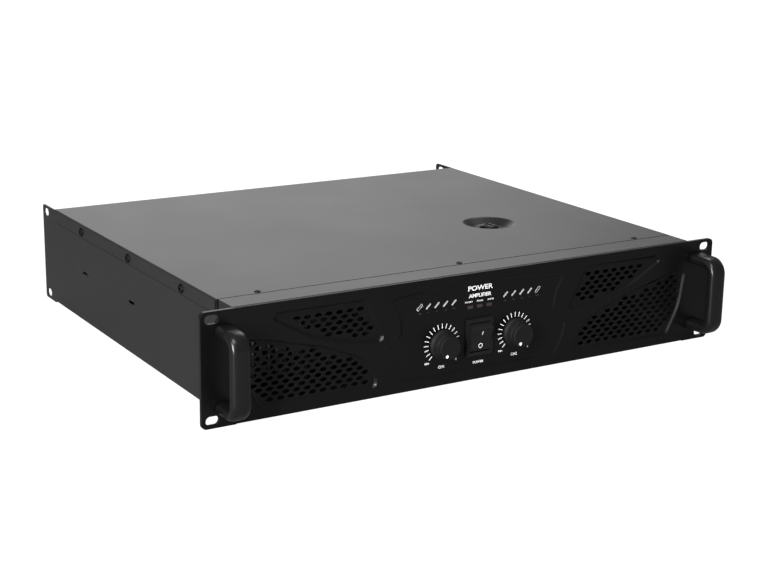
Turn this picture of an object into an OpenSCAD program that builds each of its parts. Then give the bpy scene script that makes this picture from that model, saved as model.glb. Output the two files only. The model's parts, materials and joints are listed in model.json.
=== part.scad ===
// Two-channel power amplifier, two rack units high.
// Origin: middle of the front panel's front face. X to the right, Y to the rear, Z up. Millimetres.

/* [Front panel] */
// Width over the rack ears
panel_w = 482.6; // [482:0.1:483]
// Height of the panel, two rack units less clearance
panel_h = 88.1; // [87.6:0.1:88.4]
// Thickness of the panel
panel_t = 3; // [2.8:0.1:3.4]
// Radius of the panel's corners
panel_corner = 4; // [2:0.5:6]
// Depth of the grille recesses
leaf_depth = 2; // [1.5:0.1:2.2]
// Depth of the middle recess
centre_depth = 1; // [0.6:0.1:1.2]

/* [Rack slots] */
// Distance between slot centres across the rack
rack_x = 465.1; // [465:0.1:465.2]
// Distance between slot centres up the rack
rack_z = 76.2; // [76.2]
// Length of each slot, end to end
slot_len = 11; // [10:0.5:11.5]
// Height of each slot
slot_h = 7; // [6.5:0.1:7]

/* [Grille] */
// Distance between holes along a row
hole_pitch_x = 9.05; // [8.8:0.05:10]
// Distance between rows
hole_pitch_z = 4.06; // [4:0.02:4.6]
// Width of a hole, point to point
hole_w = 6.6; // [5:0.1:7]
// Height of a hole, flat to flat
hole_h = 3.0; // [2.4:0.1:3.2]

/* [Case] */
// Width of the case over its side walls
body_w = 432.6; // [428:0.2:434]
// Height of the top cover's upper face above the origin
body_top = 44.3; // [44:0.1:44.4]
// Height of the bottom's lower face, below the origin
body_bottom = -42.5; // [-43:0.1:-41.5]
// Distance from the panel's face to the rear edge of the cover
body_rear = 364.8; // [360:0.2:380]
// Distance from the panel's face to the rear end of the rear ears
ear_rear = 394.4; // [390:0.2:396]
// Thickness of the sheet steel
sheet = 1.2; // [1:0.1:1.4]
// Height of the cover's side edges
cover_edge = 11.3; // [10:0.1:13]
// Distance from the panel's face to the front edge of the cover
cover_front = 27.1; // [26:0.1:30]

/* [Handles] */
// Width of a handle across X
handle_w = 15.6; // [14:0.2:16]
// Thickness of the handle's bar
handle_bar = 9.7; // [8:0.1:10]
// How far a handle stands out from the panel
handle_out = 31; // [26:0.2:36]
// Distance of a handle's middle from the centre line
handle_x = 223.2; // [221:0.1:224]
// Height of the handle's middle line where it meets the panel, above the origin
handle_z = 29.2; // [28:0.1:30]
// Slope of the handle's arms
handle_slope = 1.5; // [0:0.5:3]

/* [Controls] */
// Distance of each level control from the centre line
knob_x = 34.9; // [33:0.1:40]
// Height of the level controls
knob_z = -9.9; // [-12:0.1:-8]
// Diameter of the knob's skirt
knob_skirt_d = 23.6; // [22:0.2:24]
// Diameter of the knob's cap
knob_cap_d = 19; // [17:0.2:19.4]
// How far the knob stands out from the recessed middle of the panel
knob_out = 13.4; // [11:0.2:16]
// Height of the power switch's middle
switch_z = -8.7; // [-9:0.1:-8]
// Swing of the power rocker
rocker_swing = 26; // [18:1:26]

/* [Transformer] */
// Distance of the transformer's middle from the centre line
core_x = 103.5; // [95:0.5:110]
// Distance of the transformer's middle from the panel's face
core_y = 137.5; // [130:0.5:140]
// Outside diameter of the transformer
core_d = 146; // [120:1:150]
// Height of the transformer
core_h = 62; // [50:1:64]
// Diameter of the dimple in the cover
dimple_d = 46; // [44:1:50]
// Depth of the dimple
dimple_depth = 5.5; // [4:0.1:6]

/* [Hidden] */
$fn = 48;

// Colours of the finishes
steel_grey = [0.28, 0.28, 0.28];
panel_black = [0.09, 0.09, 0.09];
plastic_black = [0.13, 0.13, 0.13];
bare_metal = [0.72, 0.72, 0.72];
board_green = [0.12, 0.32, 0.18];
brass = [0.75, 0.62, 0.3];

// Planes that several parts share
frame_back = 25.9;
side_x = body_w / 2;
seam_z = body_top - cover_edge;
lip_x = side_x - 1.7;
rear_face = body_rear - 0.6;
rear_back = rear_face - sheet;

// ---- Helpers ----

// Corner of a path with its radius turned into an arc of points
function arc_corner(a, b, c, r, n = 5) =
    let (u = (a - b) / norm(a - b), v = (c - b) / norm(c - b))
    let (half = acos(max(-1, min(1, u * v))) / 2)
    let (reach = min(r / tan(half), norm(a - b) * 0.48, norm(c - b) * 0.48))
    let (radius = reach * tan(half))
    let (mid = b + (u + v) / norm(u + v) * radius / sin(half))
    let (from = b + u * reach - mid, to = b + v * reach - mid)
    let (start = atan2(from[1], from[0]), turn = atan2(from[0] * to[1] - from[1] * to[0], from * to))
    [for (i = [0:n]) mid + radius * [cos(start + turn * i / n), sin(start + turn * i / n)]];

// Outline through corners given as [x, z, radius]
function rounded(path) =
    let (n = len(path))
    [for (i = [0:n - 1])
        let (a = path[(i + n - 1) % n], b = path[i], c = path[(i + 1) % n])
        each arc_corner([a[0], a[1]], [b[0], b[1]], [c[0], c[1]], b[2])];

// Outline moved inwards by d, for outlines that run anticlockwise
function inset(points, d) =
    let (n = len(points))
    [for (i = [0:n - 1])
        let (a = points[(i + n - 1) % n], b = points[i], c = points[(i + 1) % n])
        let (u = (b - a) / norm(b - a), v = (c - b) / norm(c - b))
        let (left = [-u[1] - v[1], u[0] + v[0]])
        b + left / (left * left) * 2 * d];

function mirrored(path) = [for (i = [len(path) - 1:-1:0]) [-path[i][0], path[i][1], path[i][2]]];

// Is point p inside an outline
function inside(p, points) =
    let (n = len(points))
    len([for (i = [0:n - 1])
        let (a = points[i], b = points[(i + 1) % n])
        if ((a[1] > p[1]) != (b[1] > p[1]) && p[0] < a[0] + (b[0] - a[0]) * (p[1] - a[1]) / (b[1] - a[1]))
        1]) % 2 == 1;

// Upright outline in X and Z, extruded from y0 to y1
module slab(y0, y1) {
    translate([0, y1, 0]) rotate([90, 0, 0]) linear_extrude(y1 - y0) children();
}

module box(low, high) {
    translate(low) cube(high - low);
}

// Round bar along Y from y0 to y1
module rod_y(x, z, d, y0, y1) {
    translate([x, y1, z]) rotate([90, 0, 0]) cylinder(d = d, h = y1 - y0);
}

module rod_z(x, y, d, z0, z1) {
    translate([x, y, z0]) cylinder(d = d, h = z1 - z0);
}

// Round-ended slot, lying along the first axis
module slot(length, height) {
    square([length - height, height], center = true);
    for (side = [-1, 1]) translate([side * (length - height) / 2, 0]) circle(d = height);
}

module rounded_plate(w, h, r) {
    square([w - 2 * r, h], center = true);
    square([w, h - 2 * r], center = true);
    for (x = [-1, 1], z = [-1, 1]) translate([x * (w / 2 - r), z * (h / 2 - r)]) circle(r = r);
}

// Turned shape whose axis points along -Y, seen from the front; profile is [radius, distance in front]
module turned_front(x, y, z, profile) {
    translate([x, y, z]) rotate([90, 0, 0]) rotate_extrude() polygon(profile);
}

// Machine screw with a domed head and a cross recess; it points along +Z and its head sits at z = 0
module screw(head_d, head_h, shank_d, shank_l) {
    difference() {
        rotate_extrude() polygon([[0, -shank_l], [shank_d / 2, -shank_l], [shank_d / 2, 0], [head_d / 2, 0],
            [head_d / 2, head_h * 0.45], [head_d * 0.42, head_h * 0.8], [head_d * 0.28, head_h], [0, head_h]]);
        for (turn = [0, 90])
            rotate(turn)
                translate([-head_d * 0.3, -head_d * 0.06, head_h * 0.35])
                    cube([head_d * 0.6, head_d * 0.12, head_h]);
    }
}

// ---- Front panel outlines, right-hand side, anticlockwise ----
upper_leaf = rounded([[84, -1.9, 5], [120, 3, 40], [150, 11, 60], [185.5, 30.6, 4.4], [179.5, 36.8, 4.6],
    [104, 36.8, 4.6]]);
lower_leaf = rounded([[93.5, -36.6, 4.6], [196, -36.6, 6], [209, -12, 60], [214, 21.5, 5], [185, 17, 30],
    [140, 5, 60], [106, -9, 30], [93.5, -27, 6]]);
centre_path = [[75, -35.8, 3.4], [83.2, -22, 30], [86.3, -7.5, 6], [73.3, 4, 6], [75.2, 17, 30], [83.4, 33.6, 4],
    [38, 36.6, 60]];
centre_recess = rounded(concat(centre_path, mirrored(centre_path)));
leaf_clear = 4.2;
hole_start_x = 103.9;
upper_start_z = 8.3;
lower_start_z = -30.25;

// Shallow pocket cut into the panel's face with softly sloping walls; every point is in sight of the middle
module pocket(outline, middle, depth, slope) {
    rings = [[-slope * 0.2, -0.6], [slope * 0.25, depth * 0.12], [slope * 0.75, depth * 0.86],
        [slope, depth - 0.02]];
    n = len(outline);
    last = len(rings) - 1;
    points = [for (ring = rings) each [for (p = inset(outline, ring[0])) [p[0], ring[1], p[1]]]];
    caps = [[middle[0], rings[0][1], middle[1]], [middle[0], depth - 0.02, middle[1]]];
    top = len(points);
    sides = [for (k = [0:last - 1], i = [0:n - 1])
        [k * n + i, k * n + (i + 1) % n, (k + 1) * n + (i + 1) % n, (k + 1) * n + i]];
    front = [for (i = [0:n - 1]) [top, (i + 1) % n, i]];
    floor = [for (i = [0:n - 1]) [top + 1, last * n + i, last * n + (i + 1) % n]];
    polyhedron(concat(points, caps), concat(front, floor, sides));
    slab(-0.4, depth) polygon(inset(outline, slope - 0.06));
}

module grille_hole() {
    polygon([[-hole_w / 2, 0], [-hole_w / 4, -hole_h / 2], [hole_w / 4, -hole_h / 2], [hole_w / 2, 0],
        [hole_w / 4, hole_h / 2], [-hole_w / 4, hole_h / 2]]);
}

// Staggered holes wherever they fit inside a recess
module grille(outline, start_z) {
    room = inset(outline, leaf_clear);
    for (row = [0:11], column = [-2:13]) {
        x = hole_start_x + hole_pitch_x * (column + (row % 2) / 2);
        z = start_z + hole_pitch_z * row;
        if (inside([x - hole_w / 4, z], room) && inside([x + hole_w / 4, z], room)) translate([x, z]) grille_hole();
    }
}

module lamp_slots(margin = 0) {
    for (side = [-1, 1], i = [0:4])
        translate([side * (24.6 + 7.9 * i), 22.4]) rotate(45) square([5.5 + margin, 1.3 + margin], center = true);
}

module status_slots(margin = 0) {
    for (i = [-1:1]) translate([9 * i, 16.4]) square([5 + margin, 2.5 + margin], center = true);
}

module rack_slots() {
    for (x = [-1, 1], z = [-1, 1]) translate([x * rack_x / 2, z * rack_z / 2]) slot(slot_len, slot_h);
}

switch_hole = [22.6, 28.2];

module front_panel() color(panel_black) {
    edge = 1.35;
    difference() {
        slab(0, panel_t) difference() {
            rounded_plate(panel_w, panel_h, panel_corner);
            rack_slots();
            for (side = [0, 1]) mirror([side, 0]) {
                grille(upper_leaf, upper_start_z);
                grille(lower_leaf, lower_start_z);
            }
            lamp_slots();
            status_slots();
            for (x = [-knob_x, knob_x]) translate([x, knob_z]) circle(d = 7.4);
            for (x = [-handle_x, handle_x], z = [-handle_z, handle_z]) translate([x, z]) circle(d = 4.2);
            translate([0, switch_z]) square(switch_hole, center = true);
        }
        // The middle of the panel has rounded top and bottom edges
        for (side = [-1, 1])
            translate([-213.5, 0, side * panel_h / 2])
                rotate([0, 90, 0])
                    linear_extrude(427)
                        difference() {
                            translate([-edge, -1]) square([2 * edge, edge + 1]);
                            translate([side * edge, edge]) circle(r = edge);
                        }
        for (side = [0, 1]) mirror([side, 0, 0]) {
            pocket(upper_leaf, [125, 24], leaf_depth, 3.1);
            pocket(lower_leaf, [170, -16], leaf_depth, 3.1);
        }
        pocket(centre_recess, [0, 0], centre_depth, 2.5);
    }
}

// ---- Handles ----
// Side view of a handle in Y and Z: arms that slope a little, joined by an upright bar
module handle_side(reach, height, corner) {
    front = height - reach * tan(handle_slope);
    polygon(rounded([[0, -height, 0.1], [-reach, -front, corner], [-reach, front, corner], [0, height, 0.1]]));
}

module handle() {
    half = handle_bar / 2;
    difference() {
        intersection() {
            translate([-handle_w / 2, 0, 0]) rotate([90, 0, 90]) linear_extrude(handle_w) difference() {
                handle_side(handle_out, handle_z + half, 14);
                handle_side(handle_out - handle_bar, handle_z - half, 7);
            }
            translate([0, 0, -50]) linear_extrude(100) {
                translate([0, half - handle_out]) rotate(90) rounded_plate(handle_bar, handle_w, half - 0.05);
                translate([-handle_w / 2, half - handle_out]) square([handle_w, handle_out]);
            }
        }
        for (side = [-1, 1]) rod_y(0, side * handle_z, 4.2, -9, 1);
    }
}

module handle_left() color(plastic_black) translate([-handle_x, 0, 0]) handle();
module handle_right() color(plastic_black) translate([handle_x, 0, 0]) handle();

module handle_screws() color(bare_metal) {
    for (x = [-handle_x, handle_x], z = [-handle_z, handle_z])
        translate([x, panel_t, z]) rotate([-90, 0, 0]) screw(8, 2.6, 4, panel_t + 8);
}

// ---- Sheet metal ----
ledge_z = body_top - sheet;
floor_z = body_bottom + sheet;
screw_rows = [88.2, 193, 297.7];
cover_screw_x = [-180, 0, 180];
cover_screw_y = 31.4;
side_screw_z = 37.4;
windows = [[-148.5, 121], [0, 164], [148.5, 121]];

module front_frame() color(steel_grey) {
    difference() {
        union() {
            box([-lip_x, panel_t, floor_z + 0.1], [lip_x, panel_t + sheet, body_top]);
            box([-lip_x, panel_t, ledge_z], [lip_x, frame_back, body_top]);
            box([-lip_x, panel_t, floor_z + 0.1], [lip_x, frame_back, floor_z + 0.1 + sheet]);
            for (side = [0, 1]) mirror([side, 0, 0])
                box([lip_x - sheet, panel_t, floor_z + 0.1], [lip_x, frame_back, body_top]);
            box([-205, frame_back - sheet, ledge_z - sheet], [205, frame_back, body_top]);
            box([-205, frame_back - sheet, ledge_z - sheet], [205, 38, ledge_z]);
        }
        for (w = windows) translate([w[0] - w[1] / 2, 0, -36.4]) cube([w[1], 10, 72.8]);
        for (x = cover_screw_x) rod_z(x, cover_screw_y, 3.2, 30, 50);
        for (x = [-85, 85], z = [-36.5, 36.5]) rod_y(x, z, 3.2, 0, 8);
    }
}

module fascia_screws() color(bare_metal) {
    for (x = [-85, 85], z = [-36.5, 36.5])
        translate([x, panel_t + sheet, z]) rotate([-90, 0, 0]) screw(5.6, 2, 3, sheet - 0.05);
}

// Side wall outline in Y and Z with the rear rack ear
module wall_outline() {
    ear_start = body_rear + 2;
    difference() {
        polygon(rounded([[3.1, body_bottom, 0.3], [ear_start, body_bottom, 1], [ear_start + 2, -44, 1],
            [ear_rear, -44, 3], [ear_rear, 44, 3], [body_rear + 0.3, 44, 0.5], [body_rear + 0.3, seam_z - 0.3, 0.5],
            [3.1, seam_z - 0.3, 0.5]]));
        for (z = [-rack_z / 2, rack_z / 2]) translate([ear_rear - 9.2, z]) slot(slot_len, slot_h);
        for (y = [187.6, 292]) translate([y, 1.4]) square([12.5, 2.4], center = true);
    }
}

module side_wall() {
    inner = side_x - 2 * sheet - 0.1;
    translate([side_x - sheet, 0, 0]) rotate([90, 0, 90]) linear_extrude(sheet) wall_outline();
    difference() {
        union() {
            box([inner, 28.6, seam_z - sheet - 0.3], [side_x, rear_face, seam_z - 0.3]);
            box([inner, 28.6, seam_z - sheet - 0.3], [inner + sheet, rear_face, ledge_z]);
        }
        for (y = screw_rows) translate([0, y, side_screw_z]) rotate([0, 90, 0]) cylinder(d = 3.2, h = side_x);
    }
}

module chassis_tray() color(steel_grey) {
    difference() {
        union() {
            box([-side_x, 3.1, body_bottom], [side_x, rear_face, floor_z]);
            for (side = [0, 1]) mirror([side, 0, 0]) side_wall();
        }
        for (x = [-180, -60, 60, 180]) translate([x, rear_back - 6, body_bottom])
            rotate_extrude() polygon([[0, -1], [2.88, -1], [2.88, 0], [1.6, sheet], [1.6, 3], [0, 3]]);
        rod_z(core_x, core_y, 8.4, -50, -30);
    }
}

module cover_profile() {
    r = 1.6;
    difference() {
        union() {
            translate([-side_x + r, seam_z]) square([body_w - 2 * r, cover_edge]);
            translate([-side_x, seam_z]) square([body_w, cover_edge - r]);
            for (x = [-1, 1]) translate([x * (side_x - r), body_top - r]) circle(r = r);
        }
        translate([-side_x + sheet, seam_z - 1]) square([body_w - 2 * sheet, cover_edge + 1 - sheet]);
    }
}

module top_cover() color(steel_grey) {
    rim = dimple_d / 2;
    floor_r = rim - 8;
    low = -dimple_depth;
    difference() {
        slab(cover_front, body_rear) cover_profile();
        box([-side_x - 1, cover_front - 1, seam_z - 1], [-lip_x - 0.4, cover_front + 1.9, body_top - 1.3]);
        box([lip_x + 0.4, cover_front - 1, seam_z - 1], [side_x + 1, cover_front + 1.9, body_top - 1.3]);
        rod_z(core_x, core_y, dimple_d + 2, 40, 50);
        for (x = cover_screw_x) rod_z(x, cover_screw_y, 3.2, 30, 50);
        for (y = screw_rows)
            translate([-side_x - 5, y, side_screw_z]) rotate([0, 90, 0]) cylinder(d = 4.2, h = body_w + 10);
    }
    translate([core_x, core_y, body_top])
        rotate_extrude($fn = 96)
            polygon([[rim + 1.2, 0], [rim + 0.3, -0.1], [rim - 0.5, -0.5], [floor_r + 0.8, low + 0.5],
                [floor_r - 0.4, low], [4.3, low], [4.3, low - sheet], [floor_r, low - sheet],
                [floor_r + 1.4, low - sheet + 0.5], [rim + 0.2, -1.5], [rim + 1.2, -sheet]]);
}

module cover_side_screws() color(plastic_black) {
    for (side = [-1, 1], y = screw_rows)
        translate([side * side_x, y, side_screw_z]) rotate([0, side * 90, 0]) screw(7.6, 1.5, 3, 3.4);
}

module cover_front_screws() color(plastic_black) {
    for (x = cover_screw_x) translate([x, cover_screw_y, body_top]) screw(5, 0.8, 3, 3);
}

// ---- Rear panel: places of what it carries, as x and z ----
fan_x = [-165, -81];
fan_z = 0.6;
speaker_spots = [[-20, 21], [14, 21]];
post_x = [-31, -12, 7, 26];
post_z = -20;
input_spots = [[52, 20], [84, 20]];
link_spots = [[52, -20], [84, -20]];
slide_spots = [[116, 24], [116, -16]];
inlet_spot = [172, 16];
breaker_spot = [172, -22];

module rear_panel() color(steel_grey) {
    difference() {
        union() {
            box([-214.9 + 1.2, rear_back, floor_z + 0.1], [214.9 - 1.2, rear_face, ledge_z]);
            box([-205, rear_back - 13, floor_z], [205, rear_back, floor_z + sheet]);
            box([-205, rear_back, floor_z], [205, rear_face, floor_z + sheet]);
        }
        slab(rear_back - 1, rear_face + 1) {
            for (x = fan_x) translate([x, fan_z]) {
                circle(d = 76);
                for (a = [-1, 1], b = [-1, 1]) translate([a * 35.75, b * 35.75]) circle(d = 4.2);
            }
            for (p = concat(speaker_spots, input_spots, link_spots)) translate(p) circle(d = 24.2);
            for (x = post_x) translate([x, post_z]) circle(d = 8.2);
            for (p = slide_spots) translate(p) square([11, 5], center = true);
            translate(inlet_spot) square([28.4, 20.6], center = true);
            translate(breaker_spot) circle(d = 11.2);
        }
        for (x = [-180, -60, 60, 180]) rod_z(x, rear_back - 6, 3.2, -50, -30);
    }
}

module rear_panel_screws() color(bare_metal) {
    for (x = [-180, -60, 60, 180]) translate([x, rear_back - 6, body_bottom]) difference() {
        rotate_extrude() polygon([[0, 0.05], [2.75, 0.05], [1.5, sheet], [1.5, 2.6], [0, 2.6]]);
        for (turn = [0, 90]) rotate(turn) translate([-1.6, -0.35, -0.1]) cube([3.2, 0.7, 0.7]);
    }
}

// ---- Transformer ----
pad_t = 2.5;
core_base = floor_z + 2;
core_top = core_base + pad_t + core_h + pad_t;
dimple_floor = body_top - dimple_depth;

module transformer_winding() color([0.55, 0.4, 0.2]) {
    round_r = 14;
    translate([core_x, core_y, core_base + pad_t + core_h / 2])
        rotate_extrude($fn = 96)
            translate([(22 + core_d / 2) / 2, 0]) rounded_plate(core_d / 2 - 22, core_h, round_r);
}

module transformer_pads() color([0.05, 0.05, 0.05]) {
    for (z = [core_base, core_base + pad_t + core_h])
        translate([core_x, core_y, z]) difference() {
            cylinder(d = core_d - 16, h = pad_t);
            translate([0, 0, -1]) cylinder(d = 30, h = pad_t + 2);
        }
}

module transformer_washer() color(bare_metal) {
    top = dimple_floor - sheet;
    translate([core_x, core_y, 0])
        rotate_extrude()
            polygon([[4.2, core_top - 1], [13.9, core_top - 1], [15, core_top], [45, core_top], [45, core_top + 2],
                [16, core_top + 2], [9, core_top + 1.5], [9, top], [4.2, top]]);
}

module transformer_bolt() color([0.5, 0.5, 0.5]) {
    translate([core_x, core_y, dimple_floor]) screw(17, 4, 8, dimple_floor - floor_z + 0.8);
}

module transformer_nut() color(bare_metal) {
    translate([core_x, core_y, floor_z]) difference() {
        cylinder(d = 15, h = 6.5, $fn = 6);
        translate([0, 0, -1]) cylinder(d = 8.1, h = 9);
    }
}

// ---- Heat sinks and amplifier boards ----
sink_x = [-165.5, -83.5];
sink_w = 79;
sink_y0 = 62;
sink_y1 = 322;
sink_top = 8;

module heat_sink(x) {
    slab(sink_y0, sink_y1) {
        translate([x - sink_w / 2, sink_top - 6]) square([sink_w, 6]);
        for (i = [0:11]) {
            foot = i == 0 || i == 11 ? floor_z : -36;
            translate([x - sink_w / 2 + i * (sink_w - 2) / 11, foot]) square([2, sink_top - 5 - foot]);
        }
    }
}

module heat_sink_left() color(bare_metal) heat_sink(sink_x[0]);
module heat_sink_right() color(bare_metal) heat_sink(sink_x[1]);

module output_transistors() color(plastic_black) {
    for (x = sink_x, side = [-1, 1], i = [0:4])
        translate([x + side * 24 - 8, 80 + i * 48, sink_top]) {
            cube([16, 20, 4.8]);
            for (leg = [-1:1]) translate([7.4 + side * -8.6 , 9.5 + leg * 5.4, 2]) cube([1.2, 1.2, 11]);
        }
}

module amplifier_boards() color(board_green) {
    for (x = sink_x) {
        box([x - 38, sink_y0 + 4, 21], [x + 38, sink_y1 - 4, 22.6]);
        for (y = [100, 150, 270]) rod_z(x - 12, y, 12, 22.5, 37);
        for (y = [120, 210]) translate([x + 6, y, 22.5]) cube([19, 16, 14]);
    }
}

module supply_board() color([0.5, 0.35, 0.12]) {
    box([34, 228, -33], [200, 330, -31.4]);
}

module filter_capacitors() color([0.1, 0.12, 0.2]) {
    for (i = [0:3], j = [0:1])
        translate([58 + i * 36, 252 + j * 44, -31.4])
            rotate_extrude() polygon([[0, 0], [15, 0], [15, 48], [14.2, 49], [12, 49], [11.5, 48.4], [0, 48.4]]);
}

module bridge_rectifiers() color(plastic_black) {
    for (y = [250, 292]) {
        difference() {
            translate([-5, y - 14, floor_z]) cube([28, 28, 10]);
            rod_z(9, y, 4.4, floor_z - 1, 0);
        }
        for (a = [-8, 8], b = [-8, 8]) translate([8.6 + a, y + b - 3, floor_z + 9]) cube([0.8, 6, 8]);
    }
}

module board_standoffs() color(brass) {
    for (x = [42, 192], y = [234, 324]) rod_z(x, y, 6, floor_z, -33);
    for (x = sink_x, side = [-1, 1], y = [sink_y0 + 9, sink_y1 - 9]) rod_z(x + side * 33, y, 5, sink_top, 21);
}

// ---- Fans ----
fan_y0 = rear_back - 25.4;
shaft_r = 1.5;
bearing_r = 1.55;

module fan_frame(x) color(plastic_black) {
    difference() {
        slab(fan_y0, rear_back) translate([x, fan_z]) difference() {
            rounded_plate(80, 80, 5);
            circle(d = 75.6);
            for (a = [-1, 1], b = [-1, 1]) translate([a * 35.75, b * 35.75]) circle(d = 4.2);
        }
        slab(fan_y0 + 4, rear_back - 4) translate([x, fan_z]) for (turn = [0, 90])
            rotate(turn) for (side = [-1, 1]) translate([side * 41, 0]) square([5, 30], center = true);
    }
    difference() {
        union() {
            rod_y(x, fan_z, 31, rear_back - 4.4, rear_back);
            rod_y(x, fan_z, 7, rear_back - 16, rear_back - 4);
            slab(rear_back - 4.4, rear_back) translate([x, fan_z]) for (turn = [20, 110, 200, 290])
                rotate(turn) translate([15, -1.5]) square([24, 3]);
        }
        rod_y(x, fan_z, 2 * bearing_r, rear_back - 17, rear_back - 2);
    }
}

module fan_rotor(x) color([0.1, 0.1, 0.1]) {
    front = fan_y0 + 1.5;
    translate([x, front, fan_z]) rotate([-90, 0, 0]) {
        difference() {
            cylinder(d = 30, h = 17.5);
            translate([0, 0, 2]) cylinder(d = 26.5, h = 20);
        }
        cylinder(r = shaft_r, h = 20);
        intersection() {
            for (i = [0:6]) rotate(i * 360 / 7)
                translate([13.5, 0, 9]) rotate([38, 0, 0]) translate([0, -11, -0.6]) cube([26, 22, 1.2]);
            difference() {
                translate([0, 0, 0.5]) cylinder(d = 72.6, h = 18.5);
                translate([0, 0, -1]) cylinder(d = 28, h = 30);
            }
        }
    }
}

module fan_frame_left() fan_frame(fan_x[0]);
module fan_frame_right() fan_frame(fan_x[1]);
module fan_rotor_left() fan_rotor(fan_x[0]);
module fan_rotor_right() fan_rotor(fan_x[1]);

module fan_guards() color(bare_metal) {
    wire = 1.7;
    for (x = fan_x) translate([x, rear_face + wire / 2, fan_z]) rotate([-90, 0, 0]) {
        for (r = [10, 18, 26, 34]) rotate_extrude($fn = 72) translate([r, 0]) circle(d = wire, $fn = 20);
        for (turn = [0, 90]) rotate(turn + 45) for (side = [0, 180])
            rotate(side) translate([9.5, 0, 0]) rotate([0, 90, 0]) cylinder(d = wire, h = 38.3);
        for (a = [-1, 1], b = [-1, 1]) translate([a * 35.75, b * 35.75, 0])
            rotate_extrude() translate([3.1, 0]) circle(d = wire, $fn = 20);
    }
}

module fan_screws() color(bare_metal) {
    for (x = fan_x, a = [-1, 1], b = [-1, 1])
        translate([x + a * 35.75, rear_face + 1.7, fan_z + b * 35.75])
            rotate([-90, 0, 0]) screw(7, 2.2, 4, 22);
}

// ---- Level controls ----
bushing_d = 7;
board_y = 15;

module pot(x) {
    difference() {
        union() {
            rod_y(x, knob_z, 16.5, panel_t + 1.6, board_y);
            rod_y(x, knob_z, bushing_d, -2, panel_t + 2);
        }
        rod_y(x, knob_z, 6.1, -4, board_y - 2);
    }
}

module level_pots() color(bare_metal) for (x = [-knob_x, knob_x]) pot(x);

module pot_nuts() color(bare_metal) {
    for (x = [-knob_x, knob_x]) difference() {
        union() {
            rod_y(x, knob_z, 13, centre_depth - 0.5, centre_depth);
            translate([x, centre_depth - 0.5, knob_z]) rotate([90, 0, 0]) cylinder(d = 11.5, h = 2, $fn = 6);
        }
        rod_y(x, knob_z, bushing_d + 0.02, -4, 4);
    }
}

module pot_shaft(x) color(brass) {
    difference() {
        rod_y(x, knob_z, 6, centre_depth - knob_out + 3, board_y - 2.2);
        translate([x - 4, -20, knob_z + 1.5]) cube([8, 17.5, 3]);
    }
}

module pot_shaft_left() pot_shaft(-knob_x);
module pot_shaft_right() pot_shaft(knob_x);

dot_angle = 241;

// Stepped knob: skirt, body, groove and cap, hollow behind, with a flat on its bore
module knob(x) color(plastic_black) {
    skirt = knob_skirt_d / 2;
    cap = knob_cap_d / 2;
    difference() {
        turned_front(x, centre_depth, knob_z, [[0, 3.2], [8.6, 3.2], [8.6, 0.5], [skirt - 0.3, 0.5], [skirt, 0.8],
            [skirt, 2.6], [skirt - 0.5, 3.2], [cap + 0.9, 4], [cap + 0.5, 9.2], [cap + 0.2, 9.5], [cap - 0.4, 9.6],
            [cap - 0.4, 10.2], [cap, 10.4], [cap, 12.6], [cap - 0.25, 13.1], [cap - 0.8, knob_out],
            [0, knob_out]]);
        difference() {
            rod_y(x, knob_z, 6, centre_depth - knob_out + 3, 5);
            translate([x - 4, -20, knob_z + 1.5]) cube([8, 17.5, 3]);
        }
        translate([x, 0, knob_z])
            rotate([0, -dot_angle, 0])
                translate([7.2, centre_depth - knob_out - 1, 0]) rotate([-90, 0, 0]) cylinder(d = 2.8, h = 1.4);
    }
}

module knob_left() knob(-knob_x);
module knob_right() knob(knob_x);

module control_board() color(board_green) {
    difference() {
        box([-75, board_y, -31], [75, board_y + 1.6, 33]);
        translate([-14, board_y - 1, -27]) cube([28, 4, 36]);
    }
}

lamp_x = [for (side = [-1, 1], i = [0:4]) side * (24.6 + 7.9 * i)];

module lamp_leds() color([0.8, 0.85, 0.8]) {
    for (p = concat([for (x = lamp_x) [x, 22.4]], [for (i = [-1:1]) [9 * i, 16.4]]))
        translate([p[0], board_y, p[1]]) rotate([90, 0, 0]) {
            cylinder(d = 3.6, h = 6.5);
            cylinder(d = 3, h = 9.5);
            translate([0, 0, 9.5]) sphere(d = 3);
        }
}

module level_lenses() color([0.92, 0.92, 0.9]) slab(centre_depth - 0.15, panel_t) lamp_slots();
module status_lenses() color([0.4, 0.1, 0.1]) slab(centre_depth - 0.1, panel_t) status_slots();

// ---- Power switch ----
rocker_r = 12;
rocker_w = 19.2;
rocker_pivot = [3.5, switch_z];
bezel_out = 2.2;
pin_r = 1.5;

module switch_body() color(plastic_black) {
    front = centre_depth - bezel_out;
    difference() {
        union() {
            slab(front + 0.5, centre_depth) translate([0, switch_z]) rounded_plate(25.5, 31, 1.5);
            slab(front, front + 0.6) translate([0, switch_z]) rounded_plate(24.5, 30, 1.2);
            slab(centre_depth - 0.1, 27) translate([0, switch_z]) square([22.4, 28], center = true);
        }
        slab(front - 1, 16.5) translate([0, switch_z]) square([rocker_w + 0.4, 2 * rocker_r + 0.4], center = true);
        translate([-11, rocker_pivot[0], switch_z]) rotate([0, 90, 0]) cylinder(r = pin_r + 0.05, h = 22);
    }
    for (x = [-7, 7], z = [-8, 0, 8]) translate([x - 0.4, 26.5, switch_z + z - 3]) cube([0.8, 9, 6]);
}

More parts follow.
